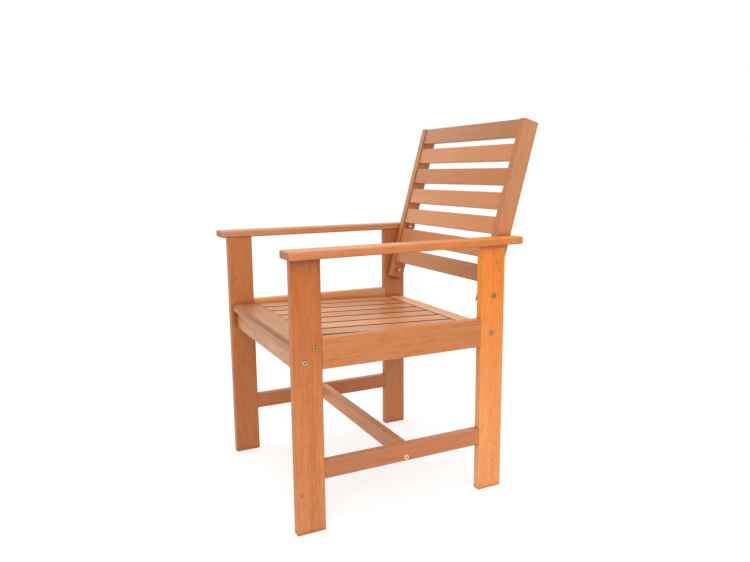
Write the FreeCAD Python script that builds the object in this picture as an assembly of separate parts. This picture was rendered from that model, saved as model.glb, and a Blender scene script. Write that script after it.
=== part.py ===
import FreeCAD, Part
import math
import os

# A fixed garden armchair of flat hardwood boards, bolted together from two side frames,
# a sloping slatted seat and a raked slatted back. Lengths are in millimetres.
# +Z is up, the sitter faces -Y and the sitter's left is +X.
# The model is drawn with Y from the front faces of the legs, and moved at the end so that
# the origin lies on the floor under the middle of the chair.

Vector = FreeCAD.Vector
origin = Vector(0, 0, 0)
across = Vector(1, 0, 0)
rearward = Vector(0, 1, 0)
upward = Vector(0, 0, 1)

# Side frames
outside_width = 541.0
frame_depth = 535.5
frame_thickness = 21.0
leg_height = 608.0
leg_width = 65.5
foot_chamfer = 1.2
arris_radius = 1.5
end_radius = 1.0
rail_height = 68.0
rail_above_seat_front = 9.5
stretcher_underside = 120.0
stretcher_height = 40.0
cross_stretcher_height = 39.0
cross_stretcher_thickness = 20.0

# Armrests
arm_thickness = 18.0
arm_slope = 0.5
arm_front_width = 63.5
arm_rear_width = 41.5
arm_front_overhang = 16.0
arm_end_past_bolt = 32.0
arm_corner_radius = 5.5
arm_edge_radius = 4.0

# Seat
seat_front_height = 426.0
seat_slope = 2.1
seat_nose_setback = 6.0
seat_board_thickness = 18.0
front_board_width = 70.0
rear_board_width = 49.5
rear_board_setback = 8.0
nose_radius = 10.0
seat_slat_count = 8
seat_slat_thickness = 12.0
seat_slat_gap = 8.0
seat_slat_rear_gap = 4.0
seat_side_gap = 5.0
apron_setback = 17.0
apron_thickness = 18.0
apron_depth = 48.0

# Back
back_rake = 15.6
stile_width = 42.0
stile_thickness = 21.0
stile_length = 452.5
stile_bolt_above_seat_front = 64.0
stile_bolt_from_rear = 30.5
stile_bolt_from_foot = 22.0
back_slat_count = 7
back_slat_height = 42.5
back_top_slat_height = 44.5
back_slat_thickness = 10.0
back_slat_setback = 4.0
back_slat_foot_clearance = 46.0

# Joinery
tenon_length = 12.0
tenon_thickness = 6.0
tenon_shoulder = 6.0
dowel_radius = 4.0
dowel_length = 38.0
arm_dowel_length = 30.0
arm_dowel_rise = 12.0
arm_dowel_clear_of_bolt = 6.0
rail_dowel_shares = (0.15, 0.45)
stretcher_dowel_shares = (0.25, 0.75)
arm_dowel_shares = (0.25, 0.75)

# Bolts, nuts and washers
bolt_radius = 3.0
bolt_head_radius = 6.5
bolt_head_height = 3.0
bolt_head_rounding = 1.2
socket_width = 4.0
socket_depth = 2.0
counterbore_radius = 7.0
counterbore_depth = 2.0
barrel_nut_radius = 5.0
barrel_nut_length = 12.0
barrel_nut_inset = 30.0
bolt_past_nut = 8.0
washer_radius = 5.9
washer_thickness = 1.2
cap_nut_width = 10.0
cap_nut_hex_height = 5.5
cap_nut_height = 10.0
cap_nut_dome_radius = 4.6
cap_nut_rounding = 3.5
cap_nut_engagement = 6.0
front_bolt_from_leg_edge = 15.0
rear_bolt_from_board_front = 22.5
apron_bolt_from_underside = 27.0
cross_bolt_from_underside = 9.0

# Fits
fit_clearance = 0.15
hole_clearance = 0.3
end_clearance = 0.5
overrun = 5.0

# Places that follow from the sizes above
half_width = outside_width / 2
inner_face = half_width - frame_thickness
frame_centre = half_width - frame_thickness / 2
rear_leg_front = frame_depth - leg_width
rail_top = seat_front_height + rail_above_seat_front
rail_underside = rail_top - rail_height
bolt_hole_radius = bolt_radius + hole_clearance
seat_angle = math.radians(seat_slope)
seat_length = (rear_leg_front + rear_board_setback - seat_nose_setback) / math.cos(seat_angle)
slat_room = 2 * inner_face - 2 * seat_side_gap - (seat_slat_count - 1) * seat_slat_gap
seat_slat_width = slat_room / seat_slat_count
seat_slat_pitch = seat_slat_width + seat_slat_gap
back_angle = math.radians(back_rake)
stile_bolt_y = frame_depth - stile_bolt_from_rear
stile_bolt_height = seat_front_height + stile_bolt_above_seat_front
stile_inner_face = inner_face - stile_thickness
stile_top = stile_length - stile_bolt_from_foot
back_slat_span = stile_length - back_slat_foot_clearance - back_slat_height
back_slat_pitch = back_slat_span / (back_slat_count - 1)
nut_x = inner_face - barrel_nut_inset
end_bolt_tip = nut_x - bolt_past_nut
arm_angle = math.radians(arm_slope)
arm_rise = math.tan(arm_angle)
arm_middle_height = leg_height + arm_thickness / 2 / math.cos(arm_angle)
# The arm bolt sits where the stile's centre line crosses the middle of the armrest's thickness
stile_lean = math.tan(back_angle)
arm_bolt_run = stile_bolt_y + (arm_middle_height - stile_bolt_height) * stile_lean
arm_bolt_y = arm_bolt_run / (1 - arm_rise * stile_lean)
arm_bolt_height = arm_middle_height + arm_bolt_y * arm_rise
arm_front = -arm_front_overhang
arm_rear = arm_bolt_y + arm_end_past_bolt


def block(x_range, y_range, z_range):
    """Square-edged board between pairs of limits."""
    low = Vector(x_range[0], y_range[0], z_range[0])
    size = Vector(x_range[1], y_range[1], z_range[1]) - low
    return Part.makeBox(size.x, size.y, size.z, low)


def edges_along(solid, axis):
    """Straight edges of a solid that run along one axis."""
    found = []
    for edge in solid.Edges:
        direction = edge.Vertexes[-1].Point - edge.Vertexes[0].Point
        if direction.cross(axis).Length < direction.Length / 2:
            found.append(edge)
    return found


def plank(x_range, y_range, z_range, axis):
    """Board between pairs of limits, with the four edges that run along one axis rounded."""
    solid = block(x_range, y_range, z_range)
    return solid.makeFillet(arris_radius, edges_along(solid, axis))


def rod(radius, start, direction, length):
    """Round bar or drilling from a point along a direction."""
    return Part.makeCylinder(radius, length, start, direction)


def cut_all(solid, tools):
    for tool in tools:
        solid = solid.cut(tool)
    return solid


def mirrored(solid):
    return solid.mirror(origin, across)


def both_sides(solids):
    return Part.makeCompound(solids + [mirrored(solid) for solid in solids])


def point(x, place):
    """Point at a given X in a place given by its Y and Z."""
    return Vector(x, place[0], place[1])


def seat_point(along, rise):
    """Chair Y and Z of a point given along the seat's slope and square to it."""
    y = seat_nose_setback + along * math.cos(seat_angle) + rise * math.sin(seat_angle)
    z = seat_front_height - along * math.sin(seat_angle) + rise * math.cos(seat_angle)
    return y, z


def on_seat(solid):
    """Move a solid drawn level, with its top at zero, onto the seat's slope."""
    moved = solid.copy()
    moved.rotate(origin, across, -seat_slope)
    moved.translate(Vector(0, seat_nose_setback, seat_front_height))
    return moved


def on_arm(solid):
    """Move a solid drawn level, with its underside at zero, onto the armrests' slight rise."""
    moved = solid.copy()
    moved.rotate(origin, across, arm_slope)
    moved.translate(Vector(0, 0, leg_height))
    return moved


def on_back(solid):
    """Move a solid drawn upright about the lower stile bolt onto the raked back."""
    moved = solid.copy()
    moved.rotate(origin, across, -back_rake)
    moved.translate(Vector(0, stile_bolt_y, stile_bolt_height))
    return moved


# Bolt places, as Y and Z on the chair's left side
front_bolt_y = leg_width - front_bolt_from_leg_edge
front_bolt_along = (front_bolt_y - seat_nose_setback) / math.cos(seat_angle)
front_bolt = seat_point(front_bolt_along, -seat_board_thickness / 2)
rear_bolt_along = seat_length + rear_bolt_from_board_front
rear_bolt = seat_point(rear_bolt_along, -seat_board_thickness / 2)
apron_rear = apron_setback + apron_thickness
apron_top_front = seat_point(apron_setback / math.cos(seat_angle), -seat_board_thickness)[1]
apron_underside = apron_top_front - apron_depth
apron_bolt = (apron_setback + apron_thickness / 2, apron_underside + apron_bolt_from_underside)
stile_bolt = (stile_bolt_y, stile_bolt_height)
arm_bolt = (arm_bolt_y, arm_bolt_height)
cross_bolt = (frame_depth / 2, stretcher_underside + cross_bolt_from_underside)


def arm_outer_edge(y):
    """X of the armrest's outer edge, which tapers from the front end to the rear end."""
    taper = (arm_front_width - arm_rear_width) / (arm_rear - arm_front)
    return inner_face + arm_front_width - taper * (y - arm_front)


def bolt_hole(place, from_x, to_x):
    return rod(bolt_hole_radius, point(from_x, place), -across, from_x - to_x)


def counterbore(place, outer_x):
    """Round recess that the head of a bolt sits in, with the bolt's hole left to bolt_hole."""
    start = point(outer_x + overrun, place)
    return rod(counterbore_radius, start, -across, overrun + counterbore_depth)


def bolted_through(solid, place, outer_x, inner_x):
    """Cut one bolt's counterbore and clearance hole through a board."""
    hole = bolt_hole(place, outer_x + overrun, inner_x - overrun)
    return solid.cut(counterbore(place, outer_x)).cut(hole)


def spread(low, high, shares):
    return [low + share * (high - low) for share in shares]


def dowel_places(underside, height, shares):
    """Y and Z of the dowels at both ends of a rail or stretcher."""
    joints = (leg_width, rear_leg_front)
    return [(y, z) for y in joints for z in spread(underside, underside + height, shares)]


rail_dowel_places = dowel_places(rail_underside, rail_height, rail_dowel_shares)
stretcher_dowel_places = dowel_places(stretcher_underside, stretcher_height, stretcher_dowel_shares)
# The rear dowels share the part of the leg's top that lies ahead of the arm bolt
rear_dowel_limit = min(frame_depth, arm_bolt_y - arm_dowel_clear_of_bolt)
arm_dowel_places = (
    spread(0, leg_width, arm_dowel_shares) + spread(rear_leg_front, rear_dowel_limit, arm_dowel_shares)
)


def level_dowels(places, extra_radius, extra_end):
    """Dowels along Y, half in each board, or with extra room the holes for them."""
    length = dowel_length + 2 * extra_end
    return [rod(dowel_radius + extra_radius, Vector(frame_centre, y - length / 2, z), rearward, length)
            for y, z in places]


def arm_dowels(extra_radius, extra_end):
    """Upright dowels between the legs and an armrest, or with extra room the holes for them."""
    low = leg_height + arm_dowel_rise - arm_dowel_length - extra_end
    length = arm_dowel_length + 2 * extra_end
    return [rod(dowel_radius + extra_radius, Vector(frame_centre, y, low + y * arm_rise), upward, length)
            for y in arm_dowel_places]


def drilled_for_dowels(solid, places):
    """Drill a side frame's board for its level dowels."""
    return cut_all(solid, level_dowels(places, fit_clearance, end_clearance))


def drilled_for_arm_dowels(solid):
    return cut_all(solid, arm_dowels(fit_clearance, end_clearance))


def leg(front_y, bolts):
    """Upright flat board with a chamfered foot, its top cut to the armrest's rise, and its holes."""
    rear_y = front_y + leg_width
    solid = plank((inner_face, half_width), (front_y, rear_y), (0, leg_height + rear_y * arm_rise), upward)
    above = block((0, outside_width), (-overrun, rear_y + overrun), (0, rear_y))
    solid = solid.cut(on_arm(above))
    foot = [edge for edge in solid.Edges if edge.BoundBox.ZMax < foot_chamfer]
    solid = solid.makeChamfer(foot_chamfer, foot)
    for place in bolts:
        solid = bolted_through(solid, place, half_width, inner_face)
    solid = drilled_for_dowels(solid, rail_dowel_places + stretcher_dowel_places)
    return drilled_for_arm_dowels(solid)


def armrest():
    """Board with rounded corners, straight along the legs' inner faces and tapered outside."""
    corners = [
        Vector(inner_face, arm_front, 0),
        Vector(arm_outer_edge(arm_front), arm_front, 0),
        Vector(arm_outer_edge(arm_rear), arm_rear, 0),
        Vector(inner_face, arm_rear, 0),
    ]
    outline = Part.makePolygon(corners + corners[:1])
    solid = Part.Face(outline).extrude(Vector(0, 0, arm_thickness))
    solid = solid.makeFillet(arm_corner_radius, edges_along(solid, upward))
    rims = [edge for edge in solid.Edges if edge.BoundBox.ZLength < arm_thickness / 2]
    solid = on_arm(solid.makeFillet(arm_edge_radius, rims))
    solid = bolted_through(solid, arm_bolt, arm_outer_edge(arm_bolt_y), inner_face)
    return drilled_for_arm_dowels(solid)


def side_rail():
    solid = plank((inner_face, half_width), (leg_width, rear_leg_front), (rail_underside, rail_top), rearward)
    return drilled_for_dowels(solid, rail_dowel_places)


def side_stretcher():
    solid = plank((inner_face, half_width), (leg_width, rear_leg_front),
                  (stretcher_underside, stretcher_underside + stretcher_height), rearward)
    solid = bolted_through(solid, cross_bolt, half_width, inner_face)
    return drilled_for_dowels(solid, stretcher_dowel_places)


def end_bolt_holes(place):
    """Clearance holes in both ends of a crosswise board."""
    hole = bolt_hole(place, inner_face + overrun, end_bolt_tip - end_clearance)
    return [hole, mirrored(hole)]


def barrel_nut(centre, direction, extra_radius, mouth):
    """Cross dowel for a bolt's end, or with a mouth length the drilling it goes into."""
    start = centre - direction * (barrel_nut_length / 2 + mouth)
    length = barrel_nut_length + mouth + extra_radius
    return rod(barrel_nut_radius + extra_radius, start, direction, length)


def level_nut(along, extra_radius, mouth):
    """Barrel nut or its drilling in a seat board, drawn level in the board's mid thickness."""
    return barrel_nut(Vector(nut_x, along, -seat_board_thickness / 2), upward, extra_radius, mouth)


def mortised_board(solid, shoulder, side, bolt_along, place):
    """Cut the slats' mortises and the end bolts' holes in a level board, and put it on the slope."""
    nut = level_nut(bolt_along, fit_clearance, seat_board_thickness)
    mortises = [slat_tenon(index, shoulder, side, fit_clearance) for index in range(seat_slat_count)]
    solid = on_seat(cut_all(solid, mortises + [nut, mirrored(nut)]))
    return cut_all(solid, end_bolt_holes(place))


def front_board():
    """Wide board across the seat's front, with a large round on its upper front edge."""
    solid = block((-inner_face, inner_face), (0, front_board_width), (-seat_board_thickness, 0))
    nose = [edge for edge in edges_along(solid, across)
            if edge.BoundBox.YMax < nose_radius and edge.BoundBox.ZMax > -nose_radius]
    solid = solid.makeFillet(nose_radius, nose)
    others = [edge for edge in edges_along(solid, across)
              if edge.BoundBox.YMin > front_board_width / 2
              or edge.BoundBox.ZMax < -(nose_radius + seat_board_thickness) / 2]
    solid = solid.makeFillet(arris_radius, others)
    return mortised_board(solid, front_board_width, -1, front_bolt_along, front_bolt)


def rear_board():
    """Board across the seat's rear between the rear legs, with mortises for the slats."""
    solid = plank((-inner_face, inner_face), (seat_length, seat_length + rear_board_width),
                  (-seat_board_thickness, 0), across)
    return mortised_board(solid, seat_length, 1, rear_bolt_along, rear_bolt)


def seat_slat_centre(index):
    return (index - (seat_slat_count - 1) / 2) * seat_slat_pitch


def slat_tenon(index, shoulder, side, extra):
    """Tenon on a seat slat's end, or with extra room the mortise that it fits."""
    middle = seat_slat_centre(index)
    half_across = seat_slat_width / 2 - tenon_shoulder + extra
    half_thickness = tenon_thickness / 2 + extra
    end = shoulder + side * (tenon_length + (end_clearance if extra else 0))
    root = shoulder - side * (seat_slat_rear_gap + overrun)
    return block((middle - half_across, middle + half_across), (min(end, root), max(end, root)),
                 (-seat_slat_thickness / 2 - half_thickness, half_thickness - seat_slat_thickness / 2))


def seat_slat(index):
    """Slat that runs from front to rear, flush with the boards and tenoned into both.

    It butts against the front board and leaves an open joint at the rear board.
    """
    half = seat_slat_width / 2
    centre = seat_slat_centre(index)
    solid = plank((centre - half, centre + half), (front_board_width, seat_length - seat_slat_rear_gap),
                  (-seat_slat_thickness, 0), rearward)
    solid = solid.fuse(slat_tenon(index, front_board_width, -1, 0))
    solid = solid.fuse(slat_tenon(index, seat_length, 1, 0))
    return on_seat(solid.removeSplitter())


def front_apron():
    """Board on edge under the seat's front, with its top bevelled to the seat's slope."""
    solid = plank((-inner_face, inner_face), (apron_setback, apron_rear),
                  (apron_underside, seat_front_height), across)
    above = block((-inner_face - overrun, inner_face + overrun), (-overrun, front_board_width),
                  (-seat_board_thickness, seat_front_height))
    solid = solid.cut(on_seat(above))
    centre = point(nut_x, apron_bolt)
    nut = barrel_nut(centre, -rearward, fit_clearance, apron_thickness)
    return cut_all(solid, end_bolt_holes(apron_bolt) + [nut, mirrored(nut)])


def cross_stretcher():
    """Bar between the middles of the side stretchers."""
    middle = frame_depth / 2
    half = cross_stretcher_thickness / 2
    solid = plank((-inner_face, inner_face), (middle - half, middle + half),
                  (stretcher_underside, stretcher_underside + cross_stretcher_height), across)
    centre = point(nut_x, cross_bolt)
    nut = barrel_nut(centre, upward, fit_clearance, cross_bolt_from_underside)
    return cut_all(solid, end_bolt_holes(cross_bolt) + [nut, mirrored(nut)])


def back_slat_low(index):
    """Height of a back slat's lower edge above the lower stile bolt, counted from the top slat."""
    if index == 0:
        return stile_top - back_top_slat_height
    return stile_top - back_slat_height - index * back_slat_pitch


def back_slat_high(index):
    if index == 0:
        return stile_top
    return back_slat_low(index) + back_slat_height


back_slat_front = back_slat_setback - stile_width / 2


def back_tenon(index, extra):
    """Tenon on a back slat's left end, or with extra room its mortise."""
    low = back_slat_low(index) + tenon_shoulder
    high = back_slat_high(index) - tenon_shoulder
    middle = back_slat_front + back_slat_thickness / 2
    half_thickness = tenon_thickness / 2 + extra
    end = stile_inner_face + tenon_length + (end_clearance if extra else 0)
    return block((stile_inner_face - overrun, end), (middle - half_thickness, middle + half_thickness),
                 (low - extra, high + extra))


def back_slat(index):
    """Horizontal slat between the stiles, tenoned into both."""
    solid = plank((-stile_inner_face, stile_inner_face),
                  (back_slat_front, back_slat_front + back_slat_thickness),
                  (back_slat_low(index), back_slat_high(index)), across)
    tenon = back_tenon(index, 0)
    return on_back(solid.fuse(tenon).fuse(mirrored(tenon)).removeSplitter())


def stile():
    """Raked upright of the back, against the rear leg's inner face and the armrest's inner edge."""
    solid = plank((stile_inner_face, inner_face), (-stile_width / 2, stile_width / 2),
                  (-stile_bolt_from_foot, stile_top), upward)
    ends = [edge for edge in solid.Edges if edge.BoundBox.ZLength < end_radius]
    solid = solid.makeFillet(end_radius, ends)
    solid = cut_all(solid, [back_tenon(index, fit_clearance) for index in range(back_slat_count)])
    solid = on_back(solid)
    holes = [bolt_hole(place, half_width, stile_inner_face - overrun) for place in (stile_bolt, arm_bolt)]
    return cut_all(solid, holes)


def bolt(place, outer_x, tip_x):
    """Wide-headed bolt with a hexagon socket, its head bedded in the counterbore."""
    seat_x = outer_x - counterbore_depth
    centre = point(seat_x, place)
    head = rod(bolt_head_radius, centre, across, bolt_head_height)
    rim = [edge for edge in head.Edges if edge.BoundBox.XMin > seat_x + bolt_head_height / 2]
    head = head.makeFillet(bolt_head_rounding, rim)
    face_x = seat_x + bolt_head_height
    corners = hexagon(socket_width, face_x, place)
    socket = Part.Face(corners).extrude(Vector(-socket_depth, 0, 0))
    shank = rod(bolt_radius, centre, -across, seat_x - tip_x)
    return head.cut(socket).fuse(shank)


def hexagon(width, x, place):
    """Closed hexagon of a given width across its flats, square to X."""
    radius = width / math.sqrt(3)
    points = []
    for corner in range(7):
        angle = corner * math.pi / 3
        points.append(Vector(x, place[0] + radius * math.cos(angle), place[1] + radius * math.sin(angle)))
    return Part.makePolygon(points)


def cap_nut(place):
    """Domed nut on the stile's inner face, hollow for the end of the bolt."""
    face_x = stile_inner_face - washer_thickness
    prism = Part.Face(hexagon(cap_nut_width, face_x, place)).extrude(Vector(-cap_nut_hex_height, 0, 0))
    dome_x = face_x - cap_nut_hex_height
    dome = rod(cap_nut_dome_radius, point(dome_x, place), -across, cap_nut_height - cap_nut_hex_height)
    crown = [edge for edge in dome.Edges if edge.BoundBox.XMax < dome_x - cap_nut_rounding / 2]
    solid = prism.fuse(dome.makeFillet(cap_nut_rounding, crown))
    bore = rod(bolt_radius + fit_clearance, point(face_x, place), -across,
               cap_nut_engagement + end_clearance)
    return solid.cut(bore)


def washer(place):
    disc = rod(washer_radius, point(stile_inner_face, place), -across, washer_thickness)
    return disc.cut(bolt_hole(place, stile_inner_face + overrun, stile_inner_face - overrun))


def through_bolt(place, outer_x):
    """Bolt through a board and the stile into its cap nut."""
    return bolt(place, outer_x, stile_inner_face - washer_thickness - cap_nut_engagement)


def end_bolt(place):
    """Bolt through a leg or stretcher into the end of a crosswise board."""
    return bolt(place, half_width, end_bolt_tip)


def cross_hole(nut, place):
    """Drill the bolt's hole across a barrel nut."""
    radius = bolt_radius + fit_clearance
    reach = barrel_nut_radius + overrun
    return nut.cut(rod(radius, point(nut_x + reach, place), -across, 2 * reach))


def barrel_nuts():
    nuts = [
        cross_hole(on_seat(level_nut(front_bolt_along, 0, 0)), front_bolt),
        cross_hole(on_seat(level_nut(rear_bolt_along, 0, 0)), rear_bolt),
        cross_hole(barrel_nut(point(nut_x, apron_bolt), -rearward, 0, 0), apron_bolt),
        cross_hole(barrel_nut(point(nut_x, cross_bolt), upward, 0, 0), cross_bolt),
    ]
    return both_sides(nuts)


def all_nodes():
    """Every separate piece of the chair by name, in the drawing's frame."""
    nodes = {}
    left = {
        "front_leg": leg(0.0, [front_bolt, apron_bolt]),
        "rear_leg": leg(rear_leg_front, [rear_bolt, stile_bolt]),
        "armrest": armrest(),
        "side_rail": side_rail(),
        "side_stretcher": side_stretcher(),
        "back_stile": stile(),
    }
    for name, solid in left.items():
        nodes[name + "_left"] = solid
        nodes[name + "_right"] = mirrored(solid)
    nodes["cross_stretcher"] = cross_stretcher()
    nodes["front_apron"] = front_apron()
    nodes["seat_front_board"] = front_board()
    nodes["seat_rear_board"] = rear_board()
    for index in range(seat_slat_count):
        nodes["seat_slat_" + str(index + 1)] = seat_slat(index)
    for index in range(back_slat_count):
        nodes["back_slat_" + str(index + 1)] = back_slat(index)
    nodes["seat_bolts"] = both_sides([end_bolt(place) for place in (front_bolt, rear_bolt, apron_bolt)])
    nodes["stretcher_bolts"] = both_sides([end_bolt(cross_bolt)])
    nodes["stile_bolts"] = both_sides([through_bolt(stile_bolt, half_width)])
    nodes["arm_bolts"] = both_sides([through_bolt(arm_bolt, arm_outer_edge(arm_bolt_y))])
    nodes["barrel_nuts"] = barrel_nuts()
    nodes["cap_nuts"] = both_sides([cap_nut(place) for place in (stile_bolt, arm_bolt)])
    nodes["washers"] = both_sides([washer(place) for place in (stile_bolt, arm_bolt)])
    nodes["rail_dowels"] = both_sides(level_dowels(rail_dowel_places, 0, 0))
    nodes["stretcher_dowels"] = both_sides(level_dowels(stretcher_dowel_places, 0, 0))
    nodes["arm_dowels"] = both_sides(arm_dowels(0, 0))
    return nodes


def main():
    nodes = all_nodes()
    whole = Part.makeCompound(list(nodes.values())).optimalBoundingBox(False, False)
    os.makedirs("parts", exist_ok=True)
    for name, solid in nodes.items():
        solid.translate(Vector(0, -(whole.YMin + whole.YMax) / 2, 0))
        solid.exportStep("parts/" + name + ".step")
    print(len(nodes), "nodes,", round(whole.XLength), round(whole.YLength), round(whole.ZLength))


main()
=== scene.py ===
import math
from typing import NamedTuple

import bpy
from mathutils import Matrix, Vector


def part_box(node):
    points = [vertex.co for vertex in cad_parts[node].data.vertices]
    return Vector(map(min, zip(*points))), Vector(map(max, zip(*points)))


# A garden armchair of oiled hardwood boards. Every piece is the CAD's own mesh in its own place;
# this file gives the pieces their materials and sets the floor, the light and the camera.
# Lengths are in metres. +Z is up, the sitter faces -Y and the sitter's left is +X.

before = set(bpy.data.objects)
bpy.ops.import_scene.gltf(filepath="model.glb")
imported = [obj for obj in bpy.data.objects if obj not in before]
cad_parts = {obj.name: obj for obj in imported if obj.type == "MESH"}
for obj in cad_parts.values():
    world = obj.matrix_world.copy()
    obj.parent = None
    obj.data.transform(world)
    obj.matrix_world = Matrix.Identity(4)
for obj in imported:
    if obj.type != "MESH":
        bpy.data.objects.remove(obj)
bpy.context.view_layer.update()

LEFT = Vector((1, 0, 0))
REAR = Vector((0, 1, 0))
UP = Vector((0, 0, 1))
SEAT_SLOPE = math.radians(2.1)
BACK_RAKE = math.radians(15.6)
SEAT_REAR = Vector((0, math.cos(SEAT_SLOPE), -math.sin(SEAT_SLOPE)))
BACK_UP = Vector((0, math.sin(BACK_RAKE), math.cos(BACK_RAKE)))

WHITE = (1.0, 1.0, 1.0, 1.0)
UNCHANGED = (1.0, 1.0, 1.0)


# Node helpers

class Nodes:
    """Adds shader nodes to a material or a world and links them."""

    def __init__(self, owner):
        owner.use_nodes = True
        self.owner = owner
        self.tree = owner.node_tree
        self.tree.nodes.clear()

    def put(self, socket, value):
        """Link a socket to another node's output, or give it a constant."""
        if isinstance(value, bpy.types.NodeSocket):
            self.tree.links.new(value, socket)
        else:
            socket.default_value = value

    def node(self, kind, settings=None, **inputs):
        """A new node; the name of an input has underscores for its spaces."""
        made = self.tree.nodes.new(kind)
        for key, value in (settings or {}).items():
            setattr(made, key, value)
        for key, value in inputs.items():
            self.put(made.inputs[key.replace("_", " ")], value)
        return made

    def filled(self, kind, values, settings=None):
        """A new node whose sockets are filled in their order."""
        made = self.node(kind, settings)
        for socket, value in zip(made.inputs, values):
            self.put(socket, value)
        return made

    def math(self, operation, *values):
        return self.filled("ShaderNodeMath", values, {"operation": operation}).outputs[0]

    def vector(self, operation, *values):
        made = self.filled("ShaderNodeVectorMath", values, {"operation": operation})
        return made.outputs["Value"] if operation == "LENGTH" else made.outputs["Vector"]

    def split(self, vector):
        return self.node("ShaderNodeSeparateXYZ", Vector=vector).outputs

    def position(self):
        """The place on the piece, which is also the place in the frame."""
        return self.node("ShaderNodeTexCoord").outputs["Object"]

    def turned(self, vector, turn, middle=(0.0, 0.0, 0.0)):
        """A vector in the directions of a turned piece, from the piece's middle where that is given."""
        made = self.node("ShaderNodeMapping", {"vector_type": "TEXTURE"}, Vector=vector, Location=middle,
                         Rotation=turn)
        return made.outputs[0]

    def noise(self, place, frequency, detail=2.0, roughness=0.5, output="Fac"):
        """Noise with its own frequency, in cycles per metre, along each of the three axes."""
        stretched = self.vector("MULTIPLY", place, frequency)
        made = self.node("ShaderNodeTexNoise", Vector=stretched, Scale=1.0, Detail=detail,
                         Roughness=roughness)
        return made.outputs[output]

    def span(self, value, low, high, to_low=0.0, to_high=1.0):
        """Smooth step of a value between two limits."""
        values = (value, low, high, to_low, to_high)
        return self.filled("ShaderNodeMapRange", values, {"interpolation_type": "SMOOTHSTEP"}).outputs[0]

    def mix(self, share, first, second):
        """Mix of two colours; the colours of a Mix node are its sockets 6 and 7."""
        made = self.node("ShaderNodeMix", {"data_type": "RGBA"})
        for index, value in ((0, share), (6, first), (7, second)):
            self.put(made.inputs[index], value)
        return made.outputs[2]

    def toned(self, share, colour, tone):
        """Colour multiplied by a tone, by the given share."""
        return self.mix(share, colour, self.vector("MULTIPLY", colour, tone))

    def openness(self, reach):
        """1 where the surface is open, and less where another surface lies within reach."""
        return self.node("ShaderNodeAmbientOcclusion", {"samples": 8}, Distance=reach).outputs["AO"]

    def bump(self, strength, depth, height):
        return self.node("ShaderNodeBump", Strength=strength, Distance=depth, Height=height).outputs[0]

    def finish(self, shader, output="ShaderNodeOutputMaterial"):
        self.node(output, Surface=shader)
        return self.owner


def linear(red, green, blue):
    """Shader colour of a colour given in the usual 0 to 255 steps."""
    def channel(value):
        share = value / 255
        return share / 12.92 if share <= 0.04045 else ((share + 0.055) / 1.055) ** 2.4
    return (channel(red), channel(green), channel(blue), 1.0)


# Wood: every board has its own grain, laid out along the board from the middle of its box

# Painted light: upper faces are made lighter by this tone
UPPER_FACE_PAINTED_LIGHT = (1.09, 1.18, 1.20)


class Board(NamedTuple):
    """How one board is cut from the log and how it is coloured.

    The grain runs along, and the width goes across. The low tint is at the board's lower, front or right
    end and the high tint at the other. Knots have a place along and across from the board's middle, a size
    and a darkness. Own marks is a function that adds what only this board shows, such as painted shade and
    highlight.
    """
    along: Vector
    across: Vector
    low_tint: tuple
    high_tint: tuple
    grain: float
    edge_painted_shading: tuple = UNCHANGED
    top_painted_light: tuple = UPPER_FACE_PAINTED_LIGHT
    knots: tuple = ()
    own_marks: object = None


# Noise layers drawn out along the grain: cycles per metre along and across the board, detail, roughness
GRAIN_NOISE = {
    "cloud": (4.0, 11.0, 2.0, 0.5),
    "band": (1.1, 34.0, 2.0, 0.5),
    "streak": (3.8, 210.0, 3.0, 0.6),
    "dash": (24.0, 230.0, 2.0, 0.6),
    "mottle": (38.0, 85.0, 3.0, 0.65),
    "fibre": (16.0, 620.0, 2.0, 0.5),
    "fleck": (26.0, 170.0, 1.0, 0.5),
    "pore": (80.0, 1400.0, 1.0, 0.5),
}
# How a layer colours the wood: the noise values between which it comes up, its share at grain 1, its tone
GRAIN_TONES = (
    ("cloud", 0.30, 0.70, 0.80, (0.95, 0.87, 0.80)),
    ("cloud", 0.60, 0.30, 0.60, (1.05, 1.06, 1.02)),
    ("band", 0.35, 0.70, 0.60, (0.90, 0.86, 0.80)),
    ("streak", 0.45, 0.75, 0.80, (0.82, 0.76, 0.70)),
    ("dash", 0.40, 0.66, 0.55, (0.81, 0.76, 0.70)),
    ("mottle", 0.36, 0.64, 0.40, (0.82, 0.78, 0.74)),
    ("fleck", 0.66, 0.76, 0.50, (0.80, 0.68, 0.58)),
)
CLOUD_LIMITS = (0.3, 0.7)
STREAK_LIMITS = (0.3, 0.8)
FIBRE_LIMITS = (0.45, 0.80)
FIBRE_SHARE = 0.5
FIBRE_TONE = (0.86, 0.79, 0.72)
PORE_LIMITS = (0.64, 0.74)
PORE_SHARE = 0.45
PORE_TONE = (0.60, 0.48, 0.40)
# A knot is twice as long as wide; how far from its middle it pushes the rings, and where it darkens
KNOT_SHAPE = (0.5, 1.0, 0.0)
KNOT_PUSH_SHARES = (0.5, 3.0)
KNOT_CORE_SHARE = 0.3
KNOT_TONE = (0.50, 0.34, 0.24)
# Each board's grain comes from its own place in the noise, this far from the last board's
SEED_STEP = (3.1, 0.71, 1.37)

# Growth rings: their width, how far the board's middle is from their heart line, and their unevenness
RING_WIDTH = 0.0062
HEART_LINE = (0.0, 0.05, 0.09)
RING_DRIFT = (0.0, 0.03, 0.03)
RING_DRIFT_NOISE = (2.2, 5.0, 5.0)
RING_PHASE = 22.0
RING_PHASE_NOISE = (1.5, 24.0, 24.0)
RING_MASK_NOISE = (1.8, 30.0, 30.0)
RING_MASK = (0.40, 0.65)
RING_SHARPNESS = 2.5
RING_SHARE = 0.32
RING_TONE = (0.80, 0.74, 0.66)

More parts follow.
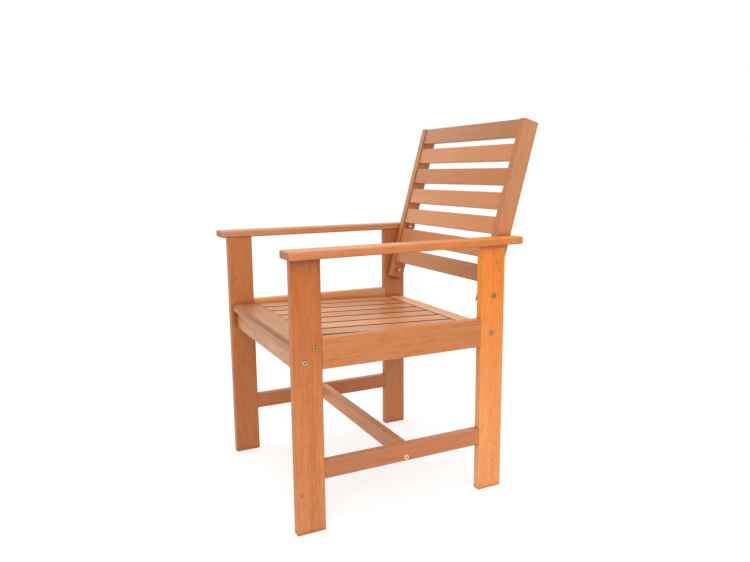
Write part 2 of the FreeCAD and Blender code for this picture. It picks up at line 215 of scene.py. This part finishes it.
# A face turns into the named kind while its normal's share in one direction passes these two values
UPPER_FACE = (0.80, 0.96)
END_FACE = (0.60, 0.90)
EDGE_FACE = (0.25, 0.80)
FLAT_FACE = (0.80, 0.985)
END_GRAIN_SHARE = 0.8
END_GRAIN_TONE = (0.60, 0.88, 1.08)
# Paler arrises: partly rubbed wear and partly a painted highlight
RUBBED_AND_HIGHLIGHT_SHARES = (0.1, 0.5)
RUBBED_AND_HIGHLIGHT_TONE = (1.12, 1.16, 1.20)
# Painted shade where other surfaces are near: how near, how closed in, how much of it, and its tone
CREVICE_SHADE_REACH = 0.019
CREVICE_SHADE_OPENNESS = (0.25, 0.94)
CREVICE_SHADE_SHARE = 0.85
CREVICE_SHADE_TONE = (0.43, 0.29, 0.20)

OIL_ROUGHNESS = (0.38, 0.48)
PORE_ROUGHNESS = 0.15
END_GRAIN_ROUGHNESS = 0.25
OIL_IOR = 1.48
RELIEF_STRENGTH = 0.3
RELIEF_DEPTH = 0.0002
FIBRE_HEIGHT = 0.6
STREAK_HEIGHT = 0.5
PORE_DEPTH = 0.7


def board_axes(board):
    """A board's three directions: along its grain, across its width and through its thickness."""
    thick = board.along.cross(board.across).normalized()
    return (board.along, thick.cross(board.along), thick)


def half_size(node, direction):
    """Half of a piece's size in one direction, measured on its mesh."""
    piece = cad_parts[node]
    places = [(piece.matrix_world @ vertex.co).dot(direction) for vertex in piece.data.vertices]
    return (max(places) - min(places)) / 2


def growth_rings(s, place, here, bulge):
    """Late-wood lines: slices of rings round a heart line that lies outside the board."""
    drift = s.vector("SUBTRACT", s.noise(here, RING_DRIFT_NOISE, output="Color"), (0.5, 0.5, 0.5))
    drift = s.vector("MULTIPLY", drift, RING_DRIFT)
    from_heart = s.vector("ADD", s.vector("ADD", place, drift), HEART_LINE)
    radius = s.vector("LENGTH", s.vector("MULTIPLY", from_heart, (0.0, 1.0, 1.0)))
    radius = s.math("ADD", radius, bulge)
    uneven = s.math("MULTIPLY", s.noise(here, RING_PHASE_NOISE), RING_PHASE)
    phase = s.math("MULTIPLY_ADD", radius, 2 * math.pi / RING_WIDTH, uneven)
    wave = s.math("MULTIPLY_ADD", s.math("SINE", phase), 0.5, 0.5)
    shown = s.span(s.noise(here, RING_MASK_NOISE), *RING_MASK)
    return s.math("MULTIPLY", s.math("POWER", wave, RING_SHARPNESS), shown)


def knot_fields(s, place, knots):
    """How far knots push the rings aside, and how dark the knots themselves are."""
    bulge = 0.0
    core = 0.0
    for along, across, size, dark in knots:
        offset = s.vector("SUBTRACT", place, (along, across, 0.0))
        away = s.vector("LENGTH", s.vector("MULTIPLY", offset, KNOT_SHAPE))
        near, far = [share * size for share in KNOT_PUSH_SHARES]
        bulge = s.math("ADD", bulge, s.span(away, near, far, size, 0.0))
        core = s.math("MAXIMUM", core, s.span(away, KNOT_CORE_SHARE * size, size, dark, 0.0))
    return bulge, core


def grain_colour(s, colour, board, layers, pore, place, here):
    """Clouds, bands, streaks, fibres, pores, growth rings and knots."""
    for layer, low, high, share, tone in GRAIN_TONES:
        colour = s.toned(s.span(layers[layer], low, high, 0.0, share * board.grain), colour, tone)
    bulge, core = knot_fields(s, place, board.knots)
    rings = growth_rings(s, place, here, bulge)
    colour = s.toned(s.math("MULTIPLY", rings, RING_SHARE * board.grain), colour, RING_TONE)
    colour = s.toned(s.span(layers["fibre"], *FIBRE_LIMITS, 0.0, FIBRE_SHARE), colour, FIBRE_TONE)
    colour = s.toned(s.math("MULTIPLY", pore, PORE_SHARE), colour, PORE_TONE)
    return s.toned(core, colour, KNOT_TONE)


def face_colour(s, colour, board, facing, rise, end, cloud):
    """Painted light on upper faces, paler arrises that are partly rubbed and partly a painted highlight,
    dark end grain, and painted light and shade on the edges.
    """
    # Painted light on the upper faces
    colour = s.toned(s.span(rise, *UPPER_FACE), colour, board.top_painted_light)
    flat = s.math("MAXIMUM", s.math("MAXIMUM", facing[0], facing[1]), facing[2])
    arris = s.span(flat, *FLAT_FACE, 1.0, 0.0)
    # Paler arrises: partly rubbed wear and partly a painted highlight
    rubbed_and_highlit = s.math("MULTIPLY", arris, s.span(cloud, *CLOUD_LIMITS, *RUBBED_AND_HIGHLIGHT_SHARES))
    colour = s.toned(rubbed_and_highlit, colour, RUBBED_AND_HIGHLIGHT_TONE)
    colour = s.toned(s.math("MULTIPLY", end, END_GRAIN_SHARE), colour, END_GRAIN_TONE)
    # Painted light and shade on the board's edge faces, with a tone for each board
    return s.toned(s.span(facing[1], *EDGE_FACE), colour, board.edge_painted_shading)


def wood(node, board, seed):
    """Oiled hardwood: two tints that fade into each other, grain, painted light and shade on its faces,
    each board's own marks, and painted shade in the joints.
    """
    s = Nodes(bpy.data.materials.new("wood_" + node))
    axes = board_axes(board)
    half = [half_size(node, direction) for direction in axes]
    turn = Matrix(axes).transposed().to_euler()
    low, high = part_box(node)
    place = s.turned(s.position(), turn, (low + high) / 2)
    normal = s.node("ShaderNodeNewGeometry").outputs["Normal"]
    facing = s.split(s.vector("ABSOLUTE", s.turned(normal, turn)))
    end = s.span(facing[0], *END_FACE)
    here = s.vector("ADD", place, [seed * step for step in SEED_STEP])
    layers = {}
    for layer, (along, across, detail, roughness) in GRAIN_NOISE.items():
        layers[layer] = s.noise(here, (along, across, across), detail, roughness)
    pore = s.span(layers["pore"], *PORE_LIMITS)

    far = s.span(s.split(place)[0], -half[0], half[0])
    colour = s.mix(far, linear(*board.low_tint), linear(*board.high_tint))
    colour = grain_colour(s, colour, board, layers, pore, place, here)
    colour = face_colour(s, colour, board, facing, s.split(normal)[2], end, layers["cloud"])
    if board.own_marks:
        colour = board.own_marks(s, colour, place, facing, half)
    # Painted shade in joints and corners, where other surfaces are near
    colour = s.toned(s.span(s.openness(CREVICE_SHADE_REACH), *CREVICE_SHADE_OPENNESS, CREVICE_SHADE_SHARE, 0.0), colour, CREVICE_SHADE_TONE)

    rough = s.span(layers["streak"], *STREAK_LIMITS, *OIL_ROUGHNESS)
    rough = s.math("ADD", rough, s.math("MULTIPLY", pore, PORE_ROUGHNESS))
    rough = s.math("ADD", rough, s.math("MULTIPLY", end, END_GRAIN_ROUGHNESS))
    height = s.math("MULTIPLY", layers["streak"], STREAK_HEIGHT)
    height = s.math("MULTIPLY_ADD", layers["fibre"], FIBRE_HEIGHT, height)
    height = s.math("SUBTRACT", height, s.math("MULTIPLY", pore, PORE_DEPTH))
    surface = s.node("ShaderNodeBsdfPrincipled", Base_Color=colour, Roughness=rough, IOR=OIL_IOR,
                     Normal=s.bump(RELIEF_STRENGTH, RELIEF_DEPTH, height))
    return s.finish(surface.outputs[0])


# Marks of single boards: painted shade and highlight on the nose, painted shade in the rear joint, and
# slats darker toward the front board. Each fade gives two places, measured from an end, an edge or the
# nose's foot

NOSE_RADIUS = 0.010
NOSE_FACE = (0.10, 0.80)
NOSE_FADE = (-0.0008, 0.0012)
NOSE_FADE_SHARES = (-0.88, 0.08)
NOSE_FAR_SHARE = 0.25
NOSE_PAINTED_SHADE = (0.66, 0.58, 0.46)
NOSE_LINE_RISE = (-0.0036, -0.0022)
NOSE_LINE_FALL = (0.0014, -0.0002)
NOSE_LINE_PAINTED_HIGHLIGHT = (1.35, 1.42, 1.42)
SLAT_FRONT_FADE = (0.028, 0.088)
SLAT_FRONT_TONE = (0.93, 0.91, 0.89)
JOINT_FADE = (0.0008, 0.0020)
JOINT_PAINTED_SHADE = (0.40, 0.26, 0.16)
BESIDE_JOINT_FADE = (0.0042, 0.0082)
BESIDE_JOINT_PAINTED_SHADE = (0.84, 0.76, 0.68)


def nose_shade_and_highlight(s, colour, place, facing, half):
    """The front board's nose: painted shade on the round, which fades out to the right, and a painted
    highlight line at its foot.
    """
    spot = s.split(place)
    above_foot = s.math("SUBTRACT", spot[2], half[2] - NOSE_RADIUS)
    steep = s.math("MULTIPLY", s.span(facing[1], *NOSE_FACE), s.span(above_foot, *NOSE_FADE))
    right, middle = [share * half[0] for share in NOSE_FADE_SHARES]
    steep = s.math("MULTIPLY", steep, s.span(spot[0], right, middle, NOSE_FAR_SHARE, 1.0))
    # Painted shade on the nose's round
    colour = s.toned(steep, colour, NOSE_PAINTED_SHADE)
    # Painted highlight line at the nose's foot
    line = s.math("MULTIPLY", s.span(above_foot, *NOSE_LINE_RISE), s.span(above_foot, *NOSE_LINE_FALL))
    return s.toned(s.math("MULTIPLY", line, facing[1]), colour, NOSE_LINE_PAINTED_HIGHLIGHT)


def slat_front_darkening(s, colour, place, facing, half):
    """A seat slat: darker toward the front board, counted from the tip of its hidden front tenon."""
    from_tip = s.math("ADD", s.split(place)[0], half[0])
    return s.toned(s.span(from_tip, *SLAT_FRONT_FADE, 1.0, 0.0), colour, SLAT_FRONT_TONE)


def rear_board_joint_shade(s, colour, place, facing, half):
    """The rear board: painted shade in the open joint before the slats, and a little painted shade beside
    it.
    """
    from_joint = s.math("ADD", s.split(place)[1], half[1])
    # Painted shade in the open joint, and fainter painted shade beside it
    colour = s.toned(s.span(from_joint, *JOINT_FADE, 1.0, 0.0), colour, JOINT_PAINTED_SHADE)
    return s.toned(s.span(from_joint, *BESIDE_JOINT_FADE, 1.0, 0.0), colour, BESIDE_JOINT_PAINTED_SHADE)


# Brass-coloured plating

PLATING_CLOUD_NOISE = (160.0, 160.0, 160.0)
PLATING_CLOUD_LIMITS = (0.35, 0.70)
PLATING_DULLNESS = 0.86
PLATING_ROUGHNESS = (0.34, 0.50)
MARK_NOISE = (1400.0, 1400.0, 1400.0)
MARK_LIMITS = (0.55, 0.80)
MARK_SHARE = 0.4
MARK_TONE = (0.60, 0.55, 0.50)
MARK_STRENGTH = 0.25
MARK_DEPTH = 0.0001
GRIME_AND_SHADE_REACH = 0.005
GRIME_AND_SHADE_OPENNESS = (0.30, 0.97)
GRIME_AND_SHADE_TONE = (0.26, 0.18, 0.12)
WORN_TINT = (188, 152, 130)
WORN_FADE = 0.004


def plating(node, tint, grime_and_shade, seed, worn_ahead_of=None):
    """Dull plating with a clouded passivation, fine marks, and grime and painted shade in the sockets.

    Fittings ahead of the given place, toward -Y, have lost most of the yellow.
    """
    s = Nodes(bpy.data.materials.new("plating_" + node))
    place = s.position()
    here = s.vector("ADD", place, (seed, 0.0, 0.0))
    cloud = s.noise(here, PLATING_CLOUD_NOISE, detail=3.0, roughness=0.6)
    marks = s.noise(here, MARK_NOISE)
    dull_tint = [PLATING_DULLNESS * value for value in tint]
    colour = s.mix(s.span(cloud, *PLATING_CLOUD_LIMITS), linear(*tint), linear(*dull_tint))
    if worn_ahead_of is not None:
        worn = s.span(s.split(place)[1], worn_ahead_of + WORN_FADE, worn_ahead_of)
        colour = s.mix(worn, colour, linear(*WORN_TINT))
    colour = s.toned(s.span(marks, *MARK_LIMITS, 0.0, MARK_SHARE), colour, MARK_TONE)
    # Grime and painted shade in the sockets, where other surfaces are near
    colour = s.toned(s.span(s.openness(GRIME_AND_SHADE_REACH), *GRIME_AND_SHADE_OPENNESS, grime_and_shade, 0.0), colour, GRIME_AND_SHADE_TONE)
    rough = s.span(cloud, *CLOUD_LIMITS, *PLATING_ROUGHNESS)
    surface = s.node("ShaderNodeBsdfPrincipled", Base_Color=colour, Metallic=1.0, Roughness=rough,
                     Normal=s.bump(MARK_STRENGTH, MARK_DEPTH, marks))
    return s.finish(surface.outputs[0])


# The pieces and their materials

# Pin holes low on the near rear leg, placed as knots are
PIN_HOLE_SIZE = 0.0022
PIN_HOLE_DARKNESS = 0.8
PIN_HOLE_PLACES = ((-0.192, 0.013), (-0.218, 0.011), (-0.234, 0.010), (-0.252, 0.009), (-0.264, 0.012))
PIN_HOLES = tuple((along, across, PIN_HOLE_SIZE, PIN_HOLE_DARKNESS) for along, across in PIN_HOLE_PLACES)

# Tints of the oiled wood: the oranges, the yellow browns, then the duller browns from pale to dark
APRICOT = (255, 170, 105)
FLAME = (250, 145, 45)
ORANGE = (222, 131, 60)
RUST = (198, 112, 46)
HONEY = (237, 167, 108)
STRAW = (230, 158, 100)
GINGER = (220, 141, 85)
AMBER = (212, 135, 78)
PALE = (230, 170, 120)
SAND = (220, 160, 116)
BISCUIT = (216, 151, 105)
TAN = (209, 140, 90)
FADED = (198, 140, 100)
OAT = (200, 136, 91)
CARAMEL = (203, 133, 79)
BRICK = (205, 127, 80)
NUT = (195, 129, 84)
CHESTNUT = (194, 120, 66)
COCOA = (187, 121, 80)
UMBER = (175, 115, 66)
WALNUT = (175, 103, 53)

# The directions of each board's grain and width, its two tints, and how strongly its grain shows
BOARDS = {
    "front_leg_left": Board(UP, REAR, GINGER, RUST, 0.95, edge_painted_shading=(0.93, 0.83, 0.30),
                            knots=((-0.211, -0.022, 0.005, 0.5), (0.176, 0.004, 0.003, 0.4))),
    "rear_leg_left": Board(UP, REAR, APRICOT, FLAME, 0.7, edge_painted_shading=(0.95, 1.20, 1.60),
                           knots=((0.265, 0.009, 0.004, 0.45), (0.247, 0.016, 0.005, 0.45)) + PIN_HOLES),
    "front_leg_right": Board(UP, REAR, CHESTNUT, CHESTNUT, 0.85, knots=((0.078, -0.019, 0.016, 0.35),)),
    "rear_leg_right": Board(UP, REAR, AMBER, WALNUT, 0.6),
    "armrest_left": Board(REAR, LEFT, BRICK, ORANGE, 0.5, top_painted_light=(1.12, 1.32, 1.40)),
    "armrest_right": Board(REAR, LEFT, OAT, NUT, 0.5),
    "side_rail_left": Board(REAR, UP, AMBER, AMBER, 0.8),
    "side_rail_right": Board(REAR, UP, STRAW, BISCUIT, 0.7),
    "side_stretcher_left": Board(REAR, UP, COCOA, BRICK, 0.5, top_painted_light=(1.11, 1.28, 1.34)),
    "side_stretcher_right": Board(REAR, UP, CHESTNUT, BRICK, 0.5),
    "back_stile_left": Board(BACK_UP, REAR, CARAMEL, OAT, 0.35, edge_painted_shading=(0.83, 0.77, 0.60)),
    # The far stile's dark tints are painted shade from the back slats, and its light edge tone paints its
    # front edge back up
    "back_stile_right": Board(BACK_UP, REAR, WALNUT, UMBER, 0.5, edge_painted_shading=(1.28, 1.52, 1.95)),
    "cross_stretcher": Board(LEFT, UP, HONEY, TAN, 0.7, top_painted_light=(0.99, 1.08, 1.09)),
    "front_apron": Board(LEFT, UP, PALE, SAND, 1.6),
    "seat_front_board": Board(LEFT, SEAT_REAR, COCOA, OAT, 0.9, edge_painted_shading=(0.88, 0.86, 0.70),
                              own_marks=nose_shade_and_highlight),
    "seat_rear_board": Board(LEFT, SEAT_REAR, STRAW, STRAW, 0.6, own_marks=rear_board_joint_shade),
}
# Tints of the slats' two ends, from the right to the left in the seat and from the top down in the back
SEAT_TINTS = ((BISCUIT, NUT), (TAN, CHESTNUT), (BISCUIT, NUT), (TAN, CHESTNUT),
              (BISCUIT, CARAMEL), (SAND, TAN), (FADED, AMBER), (RUST, STRAW))
BACK_TINTS = ((FADED, UMBER), (BISCUIT, CARAMEL), (OAT, CHESTNUT), (BISCUIT, CARAMEL),
              (BISCUIT, CARAMEL), (NUT, CARAMEL), (OAT, UMBER))
# Painted shade on the seat slats' side faces, which darkens the gaps between the slats
SLAT_GAP_PAINTED_SHADE = (0.37, 0.22, 0.12)
for number, (low_tint, high_tint) in enumerate(SEAT_TINTS, start=1):
    BOARDS["seat_slat_%d" % number] = Board(SEAT_REAR, LEFT, low_tint, high_tint, 0.5,
                                            edge_painted_shading=SLAT_GAP_PAINTED_SHADE, own_marks=slat_front_darkening)
for number, (low_tint, high_tint) in enumerate(BACK_TINTS, start=1):
    BOARDS["back_slat_%d" % number] = Board(LEFT, BACK_UP, low_tint, high_tint, 0.4)
DOWEL_TINT = (214, 184, 142)
DOWEL_WOOD = Board(REAR, LEFT, DOWEL_TINT, DOWEL_TINT, 0.5)
DOWEL_SEED = 90

# Tint of each kind of fitting and how much grime and painted shade it holds in its sockets
FITTINGS = {
    "seat_bolts": ((190, 146, 98), 0.95),
    "stretcher_bolts": ((246, 206, 158), 0.6),
    "stile_bolts": ((190, 146, 98), 0.95),
    "arm_bolts": ((206, 178, 118), 0.4),
    "barrel_nuts": ((190, 190, 186), 0.5),
    "cap_nuts": ((222, 168, 134), 0.3),
    "washers": ((200, 152, 116), 0.3),
}
# The seat bolts in the apron lie ahead of its rear face, and all others well behind it
APRON_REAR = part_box("front_apron")[1].y


def dress(node, material):
    """Give a CAD node one material."""
    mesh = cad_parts[node].data
    for index in range(len(mesh.materials)):
        mesh.materials[index] = material


for seed, (node, board) in enumerate(BOARDS.items(), start=1):
    dress(node, wood(node, board, seed))
for node in ("rail_dowels", "stretcher_dowels", "arm_dowels"):
    dress(node, wood(node, DOWEL_WOOD, DOWEL_SEED))
for seed, (node, (tint, grime_and_shade)) in enumerate(FITTINGS.items()):
    worn_ahead_of = APRON_REAR if node == "seat_bolts" else None
    dress(node, plating(node, tint, grime_and_shade, seed, worn_ahead_of))


# Floor, backdrop and light

FLOOR_HALF = 30.0
FLOOR_GREY = 0.48
FLOOR_SPECK = 0.03
FLOOR_SPECK_NOISE = (40.0, 40.0, 40.0)
FLOOR_GLOW = 0.60
SKY = 0.95
# Place, the point it shines at, width and height, and power in watts
LIGHTS = {
    "softbox": ((2.55, -1.59, 1.42), (0.0, 0.0, 0.42), (2.2, 1.6), 38.0),
    "top_softbox": ((0.3, 0.0, 2.6), (0.0, 0.0, 0.5), (2.0, 2.0), 9.0),
}


def floor_material():
    """Pale floor that keeps the chair's shadow and shows as white around it."""
    s = Nodes(bpy.data.materials.new("floor_white"))
    rays = s.node("ShaderNodeLightPath").outputs
    seen = s.math("MAXIMUM", rays["Is Camera Ray"], rays["Is Glossy Ray"])
    speck = s.noise(s.position(), FLOOR_SPECK_NOISE, detail=3.0)
    dark = FLOOR_GREY
    light = FLOOR_GREY + FLOOR_SPECK
    colour = s.mix(speck, (dark, dark, dark, 1.0), (light, light, light, 1.0))
    diffuse = s.node("ShaderNodeBsdfDiffuse", Color=colour)
    glow = s.node("ShaderNodeEmission", Color=WHITE, Strength=s.math("MULTIPLY", seen, FLOOR_GLOW))
    both = s.filled("ShaderNodeAddShader", (diffuse.outputs[0], glow.outputs[0]))
    return s.finish(both.outputs[0])


def studio_floor(half):
    """A square floor at the chair's feet."""
    mesh = bpy.data.meshes.new("studio_floor")
    corners = [(-half, -half, 0.0), (half, -half, 0.0), (half, half, 0.0), (-half, half, 0.0)]
    mesh.from_pydata(corners, [], [(0, 1, 2, 3)])
    mesh.materials.append(floor_material())
    made = bpy.data.objects.new("studio_floor", mesh)
    bpy.context.scene.collection.objects.link(made)
    return made


def studio_world():
    """Even soft light all round, which shows as plain white behind the chair."""
    s = Nodes(bpy.data.worlds.new("studio"))
    rays = s.node("ShaderNodeLightPath").outputs
    shown = s.math("MAXIMUM", rays["Is Camera Ray"], rays["Is Glossy Ray"])
    shown = s.math("MAXIMUM", shown, rays["Is Transmission Ray"])
    light = s.node("ShaderNodeBackground", Color=WHITE, Strength=SKY)
    backdrop = s.node("ShaderNodeBackground", Color=WHITE, Strength=1.0)
    choice = s.filled("ShaderNodeMixShader", (shown, light.outputs[0], backdrop.outputs[0]))
    return s.finish(choice.outputs[0], "ShaderNodeOutputWorld")


def area_light(name, place, target, size, power):
    """A soft lamp that the camera doesn't see."""
    data = bpy.data.lights.new(name, "AREA")
    data.shape = "RECTANGLE"
    data.size, data.size_y = size
    data.energy = power
    made = bpy.data.objects.new(name, data)
    made.location = place
    made.rotation_euler = (Vector(target) - Vector(place)).to_track_quat("-Z", "Y").to_euler()
    made.visible_camera = False
    bpy.context.scene.collection.objects.link(made)


floor = studio_floor(FLOOR_HALF)
bpy.context.scene.world = studio_world()
for name, (place, target, size, power) in LIGHTS.items():
    area_light(name, place, target, size, power)


# Camera, fitted to the straight edges of the chair in the photograph

IMAGE_WIDTH = 750
IMAGE_HEIGHT = 562
FOCAL_PIXELS = 676.3
MIDDLE_X_PIXELS = 408.09
MIDDLE_Y_PIXELS = 291.33
SENSOR_MILLIMETRES = 36.0
CAMERA_PLACE = (1.5795, -0.7438, 0.7768)
CAMERA_AZIMUTH = math.radians(61.76)
CAMERA_DOWN = math.radians(9.82)
NEAREST_SEEN = 0.05
FARTHEST_SEEN = 200.0


def photo_camera():
    """The photograph's camera; its shift is the photograph's crop."""
    data = bpy.data.cameras.new("photo_camera")
    data.sensor_fit = "HORIZONTAL"
    data.sensor_width = SENSOR_MILLIMETRES
    data.lens = FOCAL_PIXELS / IMAGE_WIDTH * SENSOR_MILLIMETRES
    data.shift_x = (IMAGE_WIDTH / 2 - MIDDLE_X_PIXELS) / IMAGE_WIDTH
    data.shift_y = (MIDDLE_Y_PIXELS - IMAGE_HEIGHT / 2) / IMAGE_WIDTH
    data.clip_start = NEAREST_SEEN
    data.clip_end = FARTHEST_SEEN
    made = bpy.data.objects.new("photo_camera", data)
    made.location = CAMERA_PLACE
    made.rotation_euler = (math.pi / 2 - CAMERA_DOWN, 0.0, CAMERA_AZIMUTH)
    bpy.context.scene.collection.objects.link(made)
    return made


bpy.context.scene.camera = photo_camera()
bpy.context.scene.view_settings.view_transform = "Standard"
